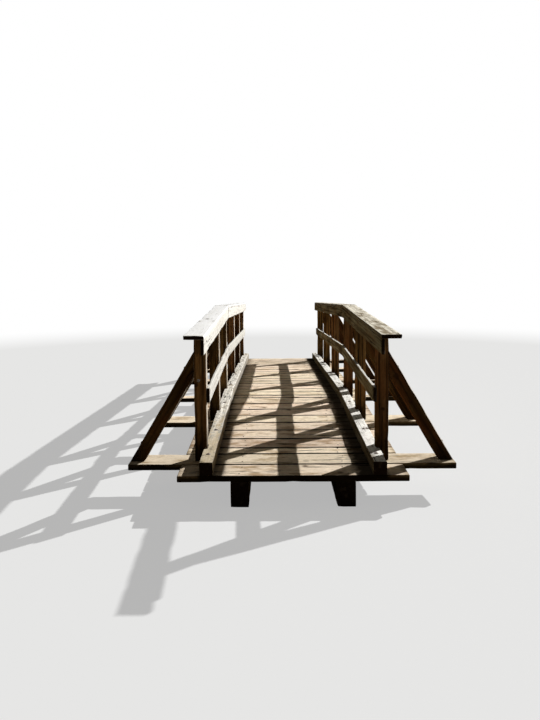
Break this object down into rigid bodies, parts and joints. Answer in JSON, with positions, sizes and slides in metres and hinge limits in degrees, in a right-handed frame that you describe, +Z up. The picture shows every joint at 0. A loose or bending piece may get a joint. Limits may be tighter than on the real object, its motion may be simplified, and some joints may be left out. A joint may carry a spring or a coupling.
{
  "type": "wooden footbridge",
  "caption": "Timber footbridge with a blunt ridge in its plank deck, kerbs, board railings and braced posts.",
  "frame": {"origin": "bottom centre: midway between the ends and the sides, on the level that the beams rest on", "axes": "+X to the right of someone who walks from the near end, +Y along the bridge to the far end, +Z up"},
  "size_m": [2.65, 6.852, 1.4529],
  "materials": {
    "beam_timber": "rough sawn, weathered",
    "deck_planks": "worn and weathered, bare",
    "kerb_timber": "bleached, with lichen, bare",
    "post_timber": "weathered, dark stained",
    "rail_boards": "weathered, bare",
    "rail_cap": "bleached and cracked, bare",
    "brace_timber": "weathered, dark stained",
    "fixings": "dull steel with rust"
  },
  "bodies": {
    "root": {"left_beam": "beam_timber", "right_beam": "beam_timber", "near_deck_planks": "deck_planks", "far_deck_planks": "deck_planks", "long_planks": "deck_planks", "left_kerb_near": "kerb_timber", "left_kerb_far": "kerb_timber", "right_kerb_near": "kerb_timber", "right_kerb_far": "kerb_timber", "left_post_1": "post_timber", "left_post_2": "post_timber", "left_post_3": "post_timber", "left_post_4": "post_timber", "left_post_5": "post_timber", "left_post_6": "post_timber", "right_post_1": "post_timber", "right_post_2": "post_timber", "right_post_3": "post_timber", "right_post_4": "post_timber", "right_post_5": "post_timber", "right_post_6": "post_timber", "left_mid_board_near": "rail_boards", "left_mid_board_far": "rail_boards", "right_mid_board_near": "rail_boards", "right_mid_board_far": "rail_boards", "left_top_board_near": "rail_boards", "left_top_board_far": "rail_boards", "right_top_board_near": "rail_boards", "right_top_board_far": "rail_boards", "left_cap_near": "rail_cap", "left_cap_far": "rail_cap", "right_cap_near": "rail_cap", "right_cap_far": "rail_cap", "left_braces": "brace_timber", "right_braces": "brace_timber"}
  },
  "joints": []
}
